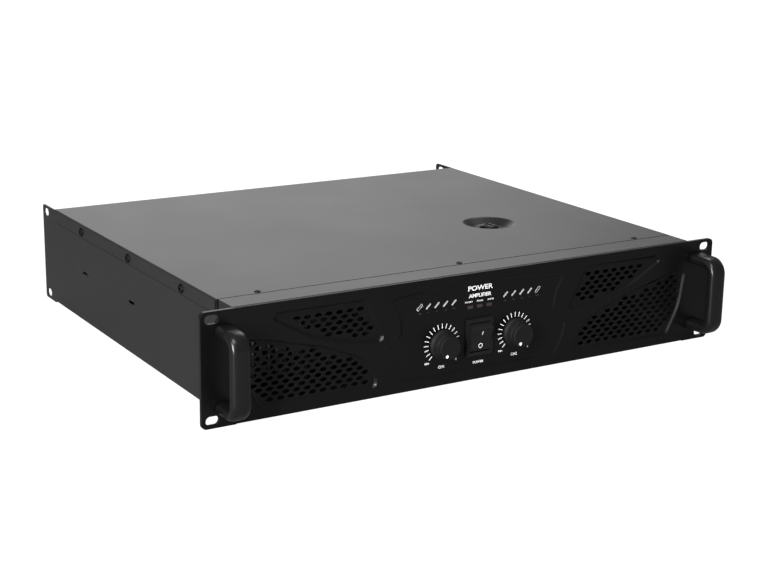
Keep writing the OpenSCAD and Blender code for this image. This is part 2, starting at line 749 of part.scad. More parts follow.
module power_rocker() color(plastic_black) {
    corner = [-7.35, 9.49];
    translate([0, rocker_pivot[0], rocker_pivot[1]]) rotate([rocker_swing / 2, 0, 0]) {
        rotate([90, 0, 90]) translate([0, 0, -rocker_w / 2]) linear_extrude(rocker_w) intersection() {
            circle(r = rocker_r, $fn = 96);
            polygon([[corner[0] - 0.5, corner[1] * 1.5], [corner[0], corner[1]], [corner[0] + 1.1, 3],
                [corner[0] + 1.2, 0], [corner[0] + 1.1, -3], [corner[0], -corner[1]],
                [corner[0] - 0.5, -corner[1] * 1.5], [5, -14], [5, 14]]);
        }
        translate([-rocker_w / 2 - 1.1, 0, 0]) rotate([0, 90, 0]) cylinder(r = pin_r, h = rocker_w + 2.2);
    }
}

// ---- Rear connectors ----
// Turned shape whose axis points along +Y, seen from behind; profile is [radius, distance behind the rear face]
module turned_rear(p, profile) {
    translate([p[0], rear_face, p[1]]) rotate([-90, 0, 0]) rotate_extrude() polygon(profile);
}

module connector_flange(p, hole_d) {
    slab(rear_face, rear_face + 2) translate(p) difference() {
        rounded_plate(26, 31, 2);
        circle(d = hole_d);
        for (s = [-1, 1]) translate([s * 9.5, s * 12]) circle(d = 3.3);
    }
    for (s = [-1, 1]) translate([p[0] + s * 9.5, rear_face + 1.2, p[1] + s * 12])
        rotate([-90, 0, 0]) screw(5, 1.4, 2.8, 1.2);
}

module speaker_sockets() color(plastic_black) {
    for (p = speaker_spots) {
        connector_flange(p, 23);
        turned_rear(p, [[0, -22], [11.9, -22], [11.9, 3], [11.2, 3.6], [10.9, 3.6], [10.9, -14], [4.6, -14],
            [4.6, 1.5], [4, 2], [0, 2]]);
    }
}

module input_sockets() color(plastic_black) {
    for (p = input_spots) {
        difference() {
            union() {
                connector_flange(p, 23);
                turned_rear(p, [[0, -20], [11.9, -20], [11.9, 3.4], [11.2, 4], [9.6, 4], [9.2, 3.6], [9.2, -8],
                    [7.8, -8], [7.8, 1], [7.2, 1.6], [0, 1.6]]);
            }
            for (a = [30, 150, 270]) rod_y(p[0] + 4 * cos(a), p[1] + 4 * sin(a), 2.6, rear_face - 9, rear_face + 5);
            box([p[0] - 3.2, rear_face - 6, p[1] + 8.5], [p[0] + 3.2, rear_face + 5, p[1] + 13]);
        }
    }
}

module input_latch(i) color([0.6, 0.6, 0.6]) {
    p = input_spots[i];
    box([p[0] - 3, rear_face - 3.6, p[1] + 9.4], [p[0] + 3, rear_face + 5, p[1] + 11.2]);
}

module input_latch_left() input_latch(0);
module input_latch_right() input_latch(1);

module link_plugs() color(plastic_black) {
    for (p = link_spots) {
        connector_flange(p, 23);
        turned_rear(p, [[0, -20], [11.9, -20], [11.9, 3.4], [11.2, 4], [9.8, 4], [9.3, 3.6], [9.3, -12], [0, -12]]);
        for (a = [90, 210, 330])
            rod_y(p[0] + 4 * cos(a), p[1] + 4 * sin(a), 2.4, rear_face - 13, rear_face + 0.5);
    }
}

stud_r = 2.5;

module binding_posts() color([0.75, 0.6, 0.3]) {
    for (i = [0, 2]) difference() {
        slab(rear_face, rear_face + 3.5) translate([(post_x[i] + post_x[i + 1]) / 2, post_z]) rounded_plate(37, 18, 4);
        for (k = [i, i + 1]) rod_y(post_x[k], post_z, 2 * stud_r, rear_face - 1, rear_face + 5);
    }
    for (x = post_x) {
        rod_y(x, post_z, 2 * stud_r, rear_back - 9, rear_face + 16);
        rod_y(x, post_z, 8, rear_back - 3, rear_face);
    }
}

// Screw cap of a binding post, fluted, with a socket in its end
module post_cap(i) color(i % 2 == 0 ? [0.6, 0.08, 0.08] : [0.08, 0.08, 0.08]) {
    difference() {
        turned_rear([post_x[i], post_z], [[0, 3.6], [6.6, 3.6], [6.9, 4], [6.9, 5.4], [6, 6], [6, 18], [5.4, 18.8],
            [0, 18.8]]);
        rod_y(post_x[i], post_z, 2 * stud_r + 0.1, rear_face + 3, rear_face + 17);
        rod_y(post_x[i], post_z, 4.1, rear_face + 16, rear_face + 20);
        for (turn = [0:30:330])
            translate([post_x[i], rear_face + 6.2, post_z]) rotate([-90, 0, 0]) rotate(turn)
                translate([6.6, 0, 0]) cylinder(r = 1.1, h = 13);
    }
}

module post_cap_1() post_cap(0);
module post_cap_2() post_cap(1);
module post_cap_3() post_cap(2);
module post_cap_4() post_cap(3);

module slide_switches() color(bare_metal) {
    for (p = slide_spots) difference() {
        union() {
            slab(rear_back - 10, rear_back) translate(p) square([22, 9], center = true);
            slab(rear_back - 0.1, rear_face) translate(p) square([10.6, 4.8], center = true);
        }
        slab(rear_back - 4, rear_face + 1) translate(p) square([9, 4], center = true);
    }
}

// Slider of a slide switch, at the left end of its travel
module slider(p) color(plastic_black) {
    difference() {
        box([p[0] - 4.4, rear_back - 3.6, p[1] - 1.9], [p[0] - 0.2, rear_face + 2.6, p[1] + 1.9]);
        for (s = [-1:1]) translate([p[0] - 2.3 + s * 1.2 - 0.25, rear_face + 2.1, p[1] - 3]) cube([0.5, 1, 6]);
    }
}

module mode_slider() slider(slide_spots[0]);
module lift_slider() slider(slide_spots[1]);

inlet_depth = 15;

module inlet_outline(w, h, cut) {
    polygon([[-w / 2, -h / 2], [w / 2, -h / 2], [w / 2, h / 2 - cut], [w / 2 - cut, h / 2], [-w / 2 + cut, h / 2],
        [-w / 2, h / 2 - cut]]);
}

module mains_inlet() color(plastic_black) {
    difference() {
        union() {
            slab(rear_face, rear_face + 2.5) translate(inlet_spot) rounded_plate(50, 27, 5);
            slab(rear_face - 21, rear_face + 1) translate(inlet_spot) square([28, 20.2], center = true);
        }
        slab(rear_face + 2.5 - inlet_depth, rear_face + 3) translate(inlet_spot) inlet_outline(24.4, 16.6, 4);
        for (s = [-1, 1]) rod_y(inlet_spot[0] + s * 20, inlet_spot[1], 3.4, rear_face - 1, rear_face + 4);
    }
    for (s = [-1, 1]) translate([inlet_spot[0] + s * 20, rear_face + 1.5, inlet_spot[1]])
        rotate([-90, 0, 0]) screw(6, 1.6, 3.2, 1.4);
}

module inlet_pins() color(bare_metal) {
    for (p = [[-7, -2], [0, 2], [7, -2]])
        translate([inlet_spot[0] + p[0] - 1, rear_face - 28, inlet_spot[1] + p[1] - 2]) cube([2, 26.5, 4]);
}

button_r = 3.2;

module breaker_body() color(plastic_black) {
    difference() {
        union() {
            slab(rear_back - 30, rear_back) translate(breaker_spot) square([14, 34], center = true);
            rod_y(breaker_spot[0], breaker_spot[1], 11, rear_back - 1, rear_face + 5);
            translate([breaker_spot[0], rear_face, breaker_spot[1]]) rotate([-90, 0, 0]) cylinder(d = 17, h = 2.6, $fn = 6);
        }
        rod_y(breaker_spot[0], breaker_spot[1], 2 * (button_r + 0.06), rear_back - 8, rear_face + 6);
    }
    for (z = [-12, 12]) translate([breaker_spot[0] - 3, rear_back - 38, breaker_spot[1] + z - 0.4]) cube([6, 9, 0.8]);
}

module breaker_button() color([0.85, 0.85, 0.82]) {
    turned_rear(breaker_spot, [[0, -5], [button_r, -5], [button_r, 7.6], [button_r - 0.5, 8.2], [0, 8.2]]);
}

front_panel();
handle_left();
handle_right();
handle_screws();
front_frame();
fascia_screws();
chassis_tray();
rear_panel();
rear_panel_screws();
top_cover();
cover_side_screws();
cover_front_screws();
transformer_winding();
transformer_pads();
transformer_washer();
transformer_bolt();
transformer_nut();
heat_sink_left();
heat_sink_right();
output_transistors();
amplifier_boards();
supply_board();
filter_capacitors();
bridge_rectifiers();
board_standoffs();
fan_frame_left();
fan_frame_right();
fan_rotor_left();
fan_rotor_right();
fan_guards();
fan_screws();
level_pots();
pot_nuts();
pot_shaft_left();
pot_shaft_right();
knob_left();
knob_right();
control_board();
lamp_leds();
level_lenses();
status_lenses();
switch_body();
power_rocker();
mains_inlet();
inlet_pins();
breaker_body();
breaker_button();
speaker_sockets();
binding_posts();
post_cap_1();
post_cap_2();
post_cap_3();
post_cap_4();
input_sockets();
input_latch_left();
input_latch_right();
link_plugs();
slide_switches();
mode_slider();
lift_slider();
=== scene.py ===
import json
import math

import bmesh
import bpy
from mathutils import Matrix, Vector


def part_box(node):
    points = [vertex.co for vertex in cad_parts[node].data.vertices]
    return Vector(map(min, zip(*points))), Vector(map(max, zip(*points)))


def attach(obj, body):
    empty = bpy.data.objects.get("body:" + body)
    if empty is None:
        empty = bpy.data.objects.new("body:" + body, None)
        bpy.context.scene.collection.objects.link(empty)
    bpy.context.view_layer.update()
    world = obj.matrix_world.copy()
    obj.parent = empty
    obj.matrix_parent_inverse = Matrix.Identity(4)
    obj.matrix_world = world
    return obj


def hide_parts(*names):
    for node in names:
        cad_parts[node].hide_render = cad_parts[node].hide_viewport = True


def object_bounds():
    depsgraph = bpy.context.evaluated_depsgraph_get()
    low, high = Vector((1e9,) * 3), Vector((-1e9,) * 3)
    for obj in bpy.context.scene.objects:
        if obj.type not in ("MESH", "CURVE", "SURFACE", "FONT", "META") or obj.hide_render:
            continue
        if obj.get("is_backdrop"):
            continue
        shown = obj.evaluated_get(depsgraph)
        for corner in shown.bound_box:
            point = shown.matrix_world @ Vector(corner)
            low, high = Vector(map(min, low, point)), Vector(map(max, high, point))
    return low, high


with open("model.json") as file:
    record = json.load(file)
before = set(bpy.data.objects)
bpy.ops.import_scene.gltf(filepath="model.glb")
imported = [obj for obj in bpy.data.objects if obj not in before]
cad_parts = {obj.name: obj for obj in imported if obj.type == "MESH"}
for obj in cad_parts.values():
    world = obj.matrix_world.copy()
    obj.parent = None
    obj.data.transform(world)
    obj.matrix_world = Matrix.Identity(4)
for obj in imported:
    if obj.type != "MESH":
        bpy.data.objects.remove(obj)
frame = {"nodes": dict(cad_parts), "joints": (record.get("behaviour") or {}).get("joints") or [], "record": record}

MM = 0.001
nodes = frame["nodes"]
cad_low, cad_high = (Vector(corner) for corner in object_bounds())

# ---- Places read from the frame ----


def middle(node):
    low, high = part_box(node)
    return (Vector(low) + Vector(high)) / 2


KNOBS = {side: middle("knob_" + side) for side in ("left", "right")}
KNOB_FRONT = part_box("knob_left")[0][1]
PRINT_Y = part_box("pot_nuts")[1][1]
SWITCH = middle("power_rocker")
PRINT_T = 0.06 * MM
# Each row of lamps runs outwards from LAMP_FIRST; the lens within SMOKED_END of its end is smoked
LAMPS = 5
LAMP_FIRST, LAMP_PITCH = 24.6 * MM, 7.9 * MM
LAMP_LAST = LAMP_FIRST + LAMP_PITCH * (LAMPS - 1)
LAMP_ROW = middle("level_lenses").z
SMOKED_END = 6 * MM

# ---- Camera at the photograph's angle ----
VIEW_AZIMUTH = math.radians(-31.44)
VIEW_ELEVATION = math.radians(15.14)
VIEW_ROLL = math.radians(0.85)
VIEW_DISTANCE = 1.4
SENSOR_WIDTH = 36.0
FOCAL_LENGTH = 74.5
AIM = (cad_low + cad_high) / 2 + Vector((16, -5, -8)) * MM


def direction(azimuth, elevation):
    """Unit vector away from the object; azimuth 0 is in front, positive to the right."""
    return Vector((math.sin(azimuth) * math.cos(elevation), -math.cos(azimuth) * math.cos(elevation),
                   math.sin(elevation)))


def make_camera():
    data = bpy.data.cameras.new("camera")
    data.sensor_width = SENSOR_WIDTH
    data.lens = FOCAL_LENGTH
    data.clip_start = 0.01
    camera = bpy.data.objects.new("camera", data)
    bpy.context.scene.collection.objects.link(camera)
    away = direction(VIEW_AZIMUTH, VIEW_ELEVATION)
    camera.location = AIM + away * VIEW_DISTANCE
    turn = away.to_track_quat("Z", "Y").to_matrix().to_4x4()
    camera.matrix_world = Matrix.Translation(camera.location) @ turn @ Matrix.Rotation(VIEW_ROLL, 4, "Z")
    bpy.context.scene.camera = camera


make_camera()

# ---- Materials ----


class Nodes:
    """A material's node tree with short calls to add and join nodes."""

    def __init__(self, name):
        self.material = bpy.data.materials.new(name)
        self.material.use_nodes = True
        self.tree = self.material.node_tree
        self.shader = self.tree.nodes["Principled BSDF"]
        self.place = self.add("ShaderNodeTexCoord").outputs["Object"]

    def add(self, kind, **settings):
        node = self.tree.nodes.new(kind)
        for key, value in settings.items():
            setattr(node, key, value)
        return node

    def link(self, source, target):
        self.tree.links.new(source, target)

    def set(self, **values):
        for key, value in values.items():
            self.shader.inputs[key.replace("_", " ")].default_value = value

    def noise(self, scale, detail=3.0, roughness=0.5, stretch=None):
        node = self.add("ShaderNodeTexNoise")
        node.inputs["Scale"].default_value = scale
        node.inputs["Detail"].default_value = detail
        node.inputs["Roughness"].default_value = roughness
        source = self.place
        if stretch:
            mapping = self.add("ShaderNodeMapping")
            mapping.inputs["Scale"].default_value = stretch
            self.link(self.place, mapping.inputs["Vector"])
            source = mapping.outputs["Vector"]
        self.link(source, node.inputs["Vector"])
        return node.outputs["Fac"]

    def ramp(self, fac, low, high, start=0.3, end=0.7):
        """A value that runs from low to high as fac runs from start to end."""
        node = self.add("ShaderNodeMapRange")
        node.inputs["From Min"].default_value = start
        node.inputs["From Max"].default_value = end
        node.inputs["To Min"].default_value = low
        node.inputs["To Max"].default_value = high
        self.link(fac, node.inputs["Value"])
        return node.outputs["Result"]

    def blend(self, fac, first, second):
        """A colour that runs from first to second as fac runs from 0 to 1."""
        node = self.add("ShaderNodeMix", data_type="RGBA")
        node.inputs["A"].default_value = (*first, 1)
        node.inputs["B"].default_value = (*second, 1)
        self.link(fac, node.inputs["Factor"])
        return node.outputs["Result"]

    def colour(self, fac, first, second):
        self.link(self.blend(fac, first, second), self.shader.inputs["Base Color"])

    def rough(self, fac, low, high):
        self.link(self.ramp(fac, low, high), self.shader.inputs["Roughness"])

    def bump(self, height, depth_mm, strength=1.0, normal=None):
        node = self.add("ShaderNodeBump")
        node.inputs["Distance"].default_value = depth_mm * MM
        node.inputs["Strength"].default_value = strength
        self.link(height, node.inputs["Height"])
        if normal is not None:
            self.link(normal, node.inputs["Normal"])
        self.link(node.outputs["Normal"], self.shader.inputs["Normal"])


EDGE_RADIUS = 0.35 * MM
BASE_PLATE = 3.51 * MM
WINDING_TURNS = 60


def grey(value):
    return (value, value, value)


def powder_coat(name, shade, roughness=0.42, level=0.5):
    """Fine orange-peel powder paint with faint cloudiness."""
    m = Nodes(name)
    clouds = m.noise(14, 2)
    peel = m.noise(1500, 2)
    m.colour(m.ramp(clouds, 0, 1), grey(shade * 0.9), grey(shade * 1.1))
    m.rough(clouds, roughness - 0.01, roughness + 0.015)
    edge = m.add("ShaderNodeBevel", samples=6)
    edge.inputs["Radius"].default_value = EDGE_RADIUS
    m.bump(peel, 0.03, 0.35, edge.outputs["Normal"])
    m.set(Specular_IOR_Level=level)
    return m.material


def moulded(name, shade, roughness=0.5, grain=0.05, level=0.4, tint=(1, 1, 1)):
    """Moulded plastic with a fine spark-eroded grain."""
    m = Nodes(name)
    clouds = m.noise(30, 2)
    spark = m.noise(2200, 3, 0.6)
    dark = tuple(shade * 0.88 * t for t in tint)
    light = tuple(shade * 1.12 * t for t in tint)
    m.colour(m.ramp(clouds, 0, 1), dark, light)
    m.rough(spark, roughness - 0.06, roughness + 0.06)
    m.bump(spark, grain, 0.4)
    m.set(Specular_IOR_Level=level)
    return m.material


def metal(name, colour, roughness=0.3, brushed=None, scale=60):
    """Bare or plated metal; brushed stretches its grain along one axis."""
    m = Nodes(name)
    cloud = m.noise(scale, 3)
    grain = m.noise(900, 3, 0.6, brushed)
    m.colour(m.ramp(cloud, 0, 1), tuple(c * 0.85 for c in colour), colour)
    m.rough(grain, roughness - 0.08, roughness + 0.1)
    m.bump(grain, 0.02, 0.3)
    m.set(Metallic=1.0)
    return m.material


def lamp(name, colour):
    """Clear or tinted lamp plastic."""
    m = Nodes(name)
    inner = m.noise(700, 2)
    m.colour(m.ramp(inner, 0, 1), tuple(c * 0.8 for c in colour), colour)
    m.rough(inner, 0.2, 0.32)
    return m.material


def level_lens(name):
    """Milky lamp lenses; the outermost one of each row is smoked."""
    m = Nodes(name)
    parts = m.add("ShaderNodeSeparateXYZ")
    m.link(m.place, parts.inputs["Vector"])
    away = m.add("ShaderNodeMath", operation="ABSOLUTE")
    m.link(parts.outputs["X"], away.inputs[0])
    outer = m.add("ShaderNodeMath", operation="GREATER_THAN")
    outer.inputs[1].default_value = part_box("level_lenses")[1][0] - SMOKED_END
    m.link(away.outputs[0], outer.inputs[0])
    cloud = m.noise(900, 2)
    milk = m.blend(m.ramp(cloud, 0, 1), grey(0.36), grey(0.48))
    smoke = m.add("ShaderNodeMix", data_type="RGBA")
    smoke.inputs["B"].default_value = (0.03, 0.03, 0.035, 1)
    m.link(outer.outputs[0], smoke.inputs["Factor"])
    m.link(milk, smoke.inputs["A"])
    m.link(smoke.outputs["Result"], m.shader.inputs["Base Color"])
    m.link(smoke.outputs["Result"], m.shader.inputs["Emission Color"])
    m.set(Emission_Strength=0.06)
    m.rough(cloud, 0.2, 0.32)
    return m.material


def post_finish(name):
    """Gold-plated posts that stand in black moulded base plates on the rear panel."""
    m = Nodes(name)
    parts = m.add("ShaderNodeSeparateXYZ")
    m.link(m.place, parts.inputs["Vector"])
    out = m.add("ShaderNodeMath", operation="GREATER_THAN")
    out.inputs[1].default_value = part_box("rear_panel")[1][1] + BASE_PLATE
    m.link(parts.outputs["Y"], out.inputs[0])
    cloud = m.noise(400, 3)
    m.link(m.blend(out.outputs[0], (0.012, 0.012, 0.012), (0.8, 0.58, 0.22)), m.shader.inputs["Base Color"])
    m.link(out.outputs[0], m.shader.inputs["Metallic"])
    m.rough(cloud, 0.24, 0.38)
    m.bump(cloud, 0.02, 0.3)
    return m.material


def laminate(name, colour, copper):
    """Printed board: solder mask over faint copper tracks."""
    m = Nodes(name)
    tracks = m.add("ShaderNodeTexBrick")
    tracks.inputs["Scale"].default_value = 120
    tracks.inputs["Mortar Size"].default_value = 0.06
    m.link(m.place, tracks.inputs["Vector"])
    weave = m.noise(900, 2)
    m.link(m.blend(tracks.outputs["Fac"], colour, copper), m.shader.inputs["Base Color"])
    m.rough(weave, 0.3, 0.45)
    m.bump(tracks.outputs["Fac"], 0.04, 0.4)
    return m.material


def wound_tape(name):
    """Overlapping turns of amber polyester tape round a ring core."""
    m = Nodes(name)
    shift = m.add("ShaderNodeVectorMath", operation="SUBTRACT")
    shift.inputs[1].default_value = middle("transformer_winding")
    m.link(m.place, shift.inputs[0])
    parts = m.add("ShaderNodeSeparateXYZ")
    m.link(shift.outputs["Vector"], parts.inputs["Vector"])
    angle = m.add("ShaderNodeMath", operation="ARCTAN2")
    m.link(parts.outputs["Y"], angle.inputs[0])
    m.link(parts.outputs["X"], angle.inputs[1])
    turns = m.add("ShaderNodeMath", operation="MULTIPLY")
    turns.inputs[1].default_value = WINDING_TURNS / math.tau
    m.link(angle.outputs[0], turns.inputs[0])
    lap = m.add("ShaderNodeMath", operation="FRACT")
    m.link(turns.outputs[0], lap.inputs[0])
    m.colour(lap.outputs[0], (0.3, 0.17, 0.04), (0.62, 0.42, 0.12))
    m.rough(m.noise(80), 0.25, 0.4)
    m.bump(lap.outputs[0], 0.25, 0.6)
    return m.material


FASCIA = powder_coat("fascia_black", 0.0028, 0.3, 0.27)
CASE = powder_coat("case_powder_coat", 0.010, 0.36, 0.5)
GRIP = moulded("handle_plastic", 0.004, 0.3, 0.03, 0.42)
KNOB = moulded("knob_plastic", 0.009, 0.55, 0.03, 0.12)
PLASTIC = moulded("black_plastic", 0.008, 0.42, 0.03, 0.25)
PRINT = moulded("white_print", 0.85, 0.5, 0.01, 0.3)
FAINT_PRINT = moulded("faint_print", 0.06, 0.5, 0.01, 0.3)
BLACK_SCREW = metal("black_screw", (0.03, 0.03, 0.03), 0.4)
ZINC = metal("zinc_plate", (0.62, 0.62, 0.6), 0.28)
ALUMINIUM = metal("extruded_aluminium", (0.75, 0.75, 0.77), 0.35, (1, 0.03, 1))
BRASS = metal("brass", (0.75, 0.56, 0.25), 0.25)
LAMP_DARK = lamp("tinted_lens", (0.045, 0.03, 0.03))
LED = lamp("led_body", (0.7, 0.72, 0.7))
GREEN_BOARD = laminate("green_board", (0.01, 0.07, 0.03), (0.03, 0.14, 0.06))
BROWN_BOARD = laminate("brown_board", (0.2, 0.11, 0.04), (0.3, 0.2, 0.09))
SLEEVE = moulded("capacitor_sleeve", 0.05, 0.25, 0.01, 0.5, (0.6, 0.7, 1.3))
RUBBER = moulded("rubber", 0.02, 0.75, 0.05, 0.3)
TAPE = wound_tape("winding_tape")
RED = moulded("red_cap", 0.45, 0.28, 0.01, 0.5, (1, 0.05, 0.05))
WHITE_BUTTON = moulded("white_button", 0.7, 0.3, 0.01, 0.5)

FINISH = {
    "fascia": FASCIA, "black_plastic": PLASTIC, "powder_coat": CASE, "black_screw": BLACK_SCREW,
    "zinc_screw": ZINC, "winding_tape": TAPE, "rubber": RUBBER, "bare_aluminium": ALUMINIUM,
    "green_board": GREEN_BOARD, "brown_board": BROWN_BOARD, "capacitor_sleeve": SLEEVE, "brass": BRASS,
    "led_clear": LED, "lamp_red": LAMP_DARK, "white_button": WHITE_BUTTON,
    "red_cap": RED, "black_cap": PLASTIC,
}

OWN_FINISH = {"level_lenses": level_lens("level_lens"), "binding_posts": post_finish("post_finish"),
              "knob_left": KNOB, "knob_right": KNOB, "handle_left": GRIP, "handle_right": GRIP}


def dress_frame():
    slots = {part["node"]: part["material_slot"] for part in frame["record"]["subparts"]}
    for name, obj in nodes.items():
        material = OWN_FINISH.get(name) or FINISH[slots[name]]
        obj.data.materials.clear()
        obj.data.materials.append(material)


dress_frame()

# ---- New pieces ----


def add_piece(name, mesh_builder, material, body, smooth=True):
    """Makes a mesh piece from a function that fills a bmesh, and lets it ride on a body."""
    mesh = bpy.data.meshes.new(name)
    bm = bmesh.new()
    mesh_builder(bm)
    bmesh.ops.recalc_face_normals(bm, faces=bm.faces)
    for face in bm.faces:
        face.smooth = smooth
    bm.to_mesh(mesh)
    bm.free()
    mesh.materials.append(material)
    obj = bpy.data.objects.new(name, mesh)
    bpy.context.scene.collection.objects.link(obj)
    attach(obj, body)
    return obj


def prism(bm, outline, y_front, thickness):
    """Thin upright plate from an outline in X and Z, its face towards -Y."""
    front = [bm.verts.new((x, y_front, z)) for x, z in outline]
    back = [bm.verts.new((x, y_front + thickness, z)) for x, z in outline]
    bm.faces.new(front)
    bm.faces.new(back[::-1])
    for i in range(len(outline)):
        j = (i + 1) % len(outline)
        bm.faces.new((front[i], back[i], back[j], front[j]))


# ---- Handles: a rounded bar swept along arm, bend, bar, bend and arm ----
HANDLE_SLOPE = math.radians(1.5)
BAR = 9.7 * MM
BEND = 9.15 * MM
BAR_STEPS, BEND_STEPS, ARM_STEPS = 6, 14, 5
AROUND = 40
SQUARENESS = 2.9
INSIDE_CAD = 0.998


def arc(centre, radius, start, stop, steps):
    return [centre + radius * Vector((math.cos(start + (stop - start) * i / steps),
                                      math.sin(start + (stop - start) * i / steps)))
            for i in range(steps + 1)]


def handle_path(low, high):
    """Middle line of a handle as points (y, z), from the lower foot to the upper one."""
    bar_y = low.y + BAR / 2
    foot_z = high.z - BAR / 2
    turn = math.pi / 2 - HANDLE_SLOPE
    bend_y = bar_y + BEND
    arm_y = bend_y - BEND * math.cos(turn)
    bend_z = foot_z + arm_y * math.tan(HANDLE_SLOPE) - BEND * math.sin(turn)
    upper = [Vector((bar_y, bend_z * i / BAR_STEPS)) for i in range(BAR_STEPS)]
    upper += arc(Vector((bend_y, bend_z)), BEND, math.pi, math.pi - turn, BEND_STEPS)
    upper += [upper[-1].lerp(Vector((0, foot_z)), i / ARM_STEPS) for i in range(1, ARM_STEPS + 1)]
    return [Vector((p.x, -p.y)) for p in upper[:0:-1]] + upper


def squared(value):
    """A sine or cosine bent so that a circle turns into a rounded square."""
    return math.copysign(abs(value) ** (2 / SQUARENESS), value)


def build_handle(node):
    low, high = (Vector(corner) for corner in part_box(node))
    path = handle_path(low, high)
    half_w = (high.x - low.x) / 2 * INSIDE_CAD
    half_t = BAR / 2
    centre_x = (low.x + high.x) / 2

    def build(bm):
        rings = []
        for i, p in enumerate(path):
            ahead = (path[min(i + 1, len(path) - 1)] - path[max(i - 1, 0)]).normalized()
            out = Vector((-ahead.y, ahead.x))
            ring = []
            foot = i in (0, len(path) - 1)
            for k in range(AROUND):
                t = math.tau * k / AROUND
                across = squared(math.cos(t)) * half_w
                y, z = p + out * (squared(math.sin(t)) * half_t)
                ring.append(bm.verts.new((centre_x + across, 0 if foot else min(y, 0), z)))
            rings.append(ring)
        for a, b in zip(rings, rings[1:]):
            for k in range(AROUND):
                bm.faces.new((a[k], a[(k + 1) % AROUND], b[(k + 1) % AROUND], b[k]))
        bm.faces.new(rings[0][::-1])
        bm.faces.new(rings[-1])

    piece = add_piece(node + "_grip", build, GRIP, "chassis")
    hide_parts(node)


build_handle("handle_left")
build_handle("handle_right")

# ---- White printing on the recessed middle of the panel ----
TICK_IN, TICK_OUT, TICK_W = 12.6 * MM, 16.5 * MM, 0.66 * MM
TICKS, TICK_START, TICK_STEP = 19, 225, 15
CHANNEL_DROP, POWER_DROP, END_DROP = 18.8 * MM, 20.0 * MM, 14.4 * MM
LOW_END, HIGH_END = 13.6 * MM, 13.4 * MM
TITLE_UPPER, TITLE_LOWER = 31.2 * MM, 25.2 * MM
STATUS_ROW, STATUS_PITCH = 20.6 * MM, 10.5 * MM
SCALE_DROP = 5.0 * MM


def build_ticks(side):
    centre = KNOBS[side]

    def build(bm):
        for i in range(TICKS):
            a = math.radians(TICK_START - TICK_STEP * i)
            along, across = Vector((math.cos(a), math.sin(a))), Vector((-math.sin(a), math.cos(a)))
            corners = [(TICK_IN, -1), (TICK_OUT, -1), (TICK_OUT, 1), (TICK_IN, 1)]
            outline = [along * r + across * s * TICK_W / 2 for r, s in corners]
            prism(bm, [(centre.x + p.x, centre.z + p.y) for p in outline], PRINT_Y - PRINT_T, PRINT_T)

    add_piece("dial_ticks_" + side, build, PRINT, "chassis", smooth=False)


def label(name, text, x, z, size, width=1.0, weight=0.0, ink=PRINT):
    """Small printed word, centred at x and z; size is in mm, and weight, in mm, thickens its strokes."""
    data = bpy.data.curves.new(name, "FONT")
    data.body = text
    data.size = size * MM
    data.align_x = "CENTER"
    data.align_y = "CENTER"
    data.extrude = PRINT_T / 2
    data.offset = weight * MM
    data.resolution_u = 4
    data.materials.append(ink)
    obj = bpy.data.objects.new(name, data)
    bpy.context.scene.collection.objects.link(obj)
    obj.location = (x, PRINT_Y - PRINT_T / 2, z)
    obj.rotation_euler = (math.pi / 2, 0, 0)
    obj.scale = (width, 1, 1)
    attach(obj, "chassis")


for side, number in (("left", "1"), ("right", "2")):
    centre = KNOBS[side]
    build_ticks(side)
    label("label_channel_" + side, "CH" + number, centre.x, centre.z - CHANNEL_DROP, 3.2, weight=0.06)
    label("label_low_" + side, "MIN", centre.x - LOW_END, centre.z - END_DROP, 2.2, weight=0.05)
    label("label_high_" + side, "0", centre.x + HIGH_END, centre.z - END_DROP, 2.6, weight=0.05)
label("label_power", "POWER", SWITCH.x, KNOBS["left"].z - POWER_DROP, 2.9, weight=0.06)
label("title_upper", "POWER", 0, TITLE_UPPER, 5.4, width=1.25, weight=0.12)
label("title_lower", "AMPLIFIER", 0, TITLE_LOWER, 4.2, width=1.1, weight=0.1)
for i, word in enumerate(("PROTECT", "POWER", "BRIDGE")):
    label("label_status_%d" % i, word, (i - 1) * STATUS_PITCH, STATUS_ROW, 1.7, weight=0.02)

SCALE_WORDS = ("SIG", "-20", "-10", "-5", "CLIP")
for side, name in ((-1, "left"), (1, "right")):
    for i, word in enumerate(SCALE_WORDS):
        spot = side * (LAMP_FIRST + LAMP_PITCH * i)
        label("label_level_%s_%d" % (name, i), word, spot, LAMP_ROW - SCALE_DROP, 1.5, ink=FAINT_PRINT)

# Thin printed outline round the outermost, smoked lamp of each row
LENS_LONG, LENS_SHORT, OUTLINE = 6.0 * MM, 1.8 * MM, 0.25 * MM
SQUARE = ((-1, -1), (1, -1), (1, 1), (-1, 1))


def build_lens_outline(centre_x):
    along, across = Vector((1, 1)).normalized(), Vector((-1, 1)).normalized()

    def build(bm):
        for s in (-1, 1):
            bars = ((across * s * LENS_SHORT / 2, LENS_LONG, OUTLINE),
                    (along * s * LENS_LONG / 2, OUTLINE, LENS_SHORT))
            for spot, long_side, short_side in bars:
                outline = [spot + along * i * long_side / 2 + across * j * short_side / 2 for i, j in SQUARE]
                prism(bm, [(centre_x + p.x, LAMP_ROW + p.y) for p in outline], PRINT_Y - PRINT_T, PRINT_T)

    return build


for side, word in ((-1, "left"), (1, "right")):
    add_piece("lens_outline_" + word, build_lens_outline(side * LAMP_LAST), PRINT, "chassis",
              smooth=False)

# ---- Knob dots and rocker marks ----
DOT_ANGLE = math.radians(241)
DOT_REACH, DOT_RADIUS = 7.2 * MM, 1.39 * MM
DOT_SUNK, DOT_T = 0.05 * MM, 0.3 * MM
